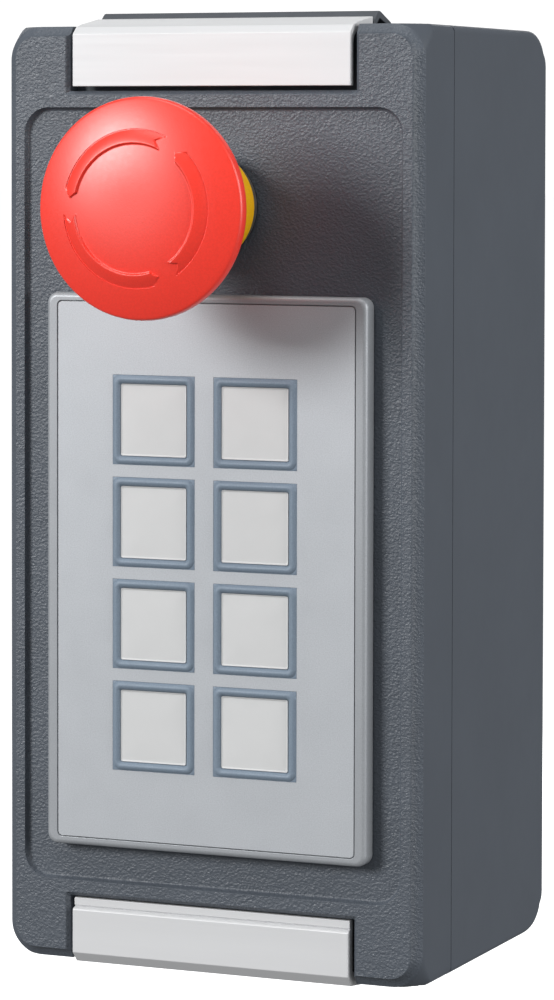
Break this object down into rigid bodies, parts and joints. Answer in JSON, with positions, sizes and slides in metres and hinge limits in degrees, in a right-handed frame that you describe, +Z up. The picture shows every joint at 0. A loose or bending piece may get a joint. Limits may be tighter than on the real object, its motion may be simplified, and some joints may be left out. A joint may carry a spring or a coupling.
{
  "type": "pendant control station",
  "caption": "Tall box-shaped operator station with a red emergency-stop mushroom button above a raised keypad of square lit keys, for a machine panel or support arm.",
  "frame": {"origin": "centre of the flat rear mounting face", "axes": "+X to the right seen from the front, +Y out of the rear face so the front panel looks along -Y, +Z up"},
  "size_m": [0.127, 0.158, 0.2742],
  "materials": {
    "housing": "fine textured powder coat, anthracite grey",
    "housing_rear": "smooth satin powder coat, anthracite grey",
    "rubber": "matte",
    "satin_aluminium": "satin anodised, fine grain along the strip",
    "rail": "textured",
    "steel": "zinc plated",
    "keypad_bezel": "silver-grey paint with a fine metallic grain",
    "keypad_foil": "silver-grey printed foil, satin",
    "key_frame": "blue-grey, satin",
    "key_window": "translucent white, satin",
    "signal_red": "fine textured, satin",
    "signal_yellow": "satin",
    "matte_silver": "matte",
    "black_plastic": "satin",
    "grey_plastic": "satin",
    "green_plastic": "satin",
    "circuit_board": "solder mask over laminate",
    "brass": "brass",
    "wire": "cable sheath"
  },
  "bodies": {
    "enclosure": {"front_shell": "housing", "rear_shell": "housing_rear", "shell_gasket": "rubber", "shell_screw_1": "steel", "shell_screw_2": "steel", "shell_screw_3": "steel", "shell_screw_4": "steel", "top_cover_strip": "satin_aluminium", "bottom_cover_strip": "satin_aluminium", "top_rail": "rail", "bottom_rail": "rail", "cable_plate": "housing_rear", "cable_plate_gasket": "rubber", "cable_plate_screw_1": "steel", "cable_plate_screw_2": "steel", "cable_plate_screw_3": "steel", "cable_plate_screw_4": "steel", "keypad_bezel": "keypad_bezel", "keypad_foil": "keypad_foil", "keypad_gasket": "rubber", "keypad_dome_sheet": "grey_plastic", "keypad_board": "circuit_board", "keypad_rear_cover": "black_plastic", "keypad_plug": "green_plastic", "keypad_clamp_1": "steel", "keypad_clamp_2": "steel", "keypad_clamp_3": "steel", "keypad_clamp_4": "steel", "estop_yellow_ring": "signal_yellow", "estop_collar": "matte_silver", "estop_seal": "rubber", "estop_sleeve": "black_plastic", "estop_holder": "black_plastic", "estop_spring": "steel", "estop_contact_block_1": "grey_plastic", "estop_contact_block_2": "grey_plastic", "terminal_block": "grey_plastic", "earth_stud": "brass", "estop_wires": "wire", "keypad_wires": "wire"},
    "estop_carriage": {"estop_plunger": "black_plastic"},
    "estop_button": {"estop_head": "signal_red"},
    "key_1": {"key_cap_1": "key_frame", "key_window_1": "key_window"},
    "key_2": {"key_cap_2": "key_frame", "key_window_2": "key_window"},
    "key_3": {"key_cap_3": "key_frame", "key_window_3": "key_window"},
    "key_4": {"key_cap_4": "key_frame", "key_window_4": "key_window"},
    "key_5": {"key_cap_5": "key_frame", "key_window_5": "key_window"},
    "key_6": {"key_cap_6": "key_frame", "key_window_6": "key_window"},
    "key_7": {"key_cap_7": "key_frame", "key_window_7": "key_window"},
    "key_8": {"key_cap_8": "key_frame", "key_window_8": "key_window"}
  },
  "joints": [
    {"name": "estop_push", "type": "slide", "parent": "enclosure", "child": "estop_carriage", "axis": [0, 1, 0], "range_m": [0, 0.005], "deforming": ["estop_spring"]},
    {"name": "estop_twist", "type": "hinge", "parent": "estop_carriage", "child": "estop_button", "pos_m": [0, -0.15, 0.0825], "axis": [0, -1, 0], "range_deg": [0, 45], "stiffness_Nm_per_rad": 0.05},
    {"name": "key_1_press", "type": "slide", "parent": "enclosure", "child": "key_1", "axis": [0, 1, 0], "range_m": [0, 0.0008], "stiffness_N_per_m": 1500},
    {"name": "key_2_press", "type": "slide", "parent": "enclosure", "child": "key_2", "axis": [0, 1, 0], "range_m": [0, 0.0008], "stiffness_N_per_m": 1500},
    {"name": "key_3_press", "type": "slide", "parent": "enclosure", "child": "key_3", "axis": [0, 1, 0], "range_m": [0, 0.0008], "stiffness_N_per_m": 1500},
    {"name": "key_4_press", "type": "slide", "parent": "enclosure", "child": "key_4", "axis": [0, 1, 0], "range_m": [0, 0.0008], "stiffness_N_per_m": 1500},
    {"name": "key_5_press", "type": "slide", "parent": "enclosure", "child": "key_5", "axis": [0, 1, 0], "range_m": [0, 0.0008], "stiffness_N_per_m": 1500},
    {"name": "key_6_press", "type": "slide", "parent": "enclosure", "child": "key_6", "axis": [0, 1, 0], "range_m": [0, 0.0008], "stiffness_N_per_m": 1500},
    {"name": "key_7_press", "type": "slide", "parent": "enclosure", "child": "key_7", "axis": [0, 1, 0], "range_m": [0, 0.0008], "stiffness_N_per_m": 1500},
    {"name": "key_8_press", "type": "slide", "parent": "enclosure", "child": "key_8", "axis": [0, 1, 0], "range_m": [0, 0.0008], "stiffness_N_per_m": 1500}
  ]
}
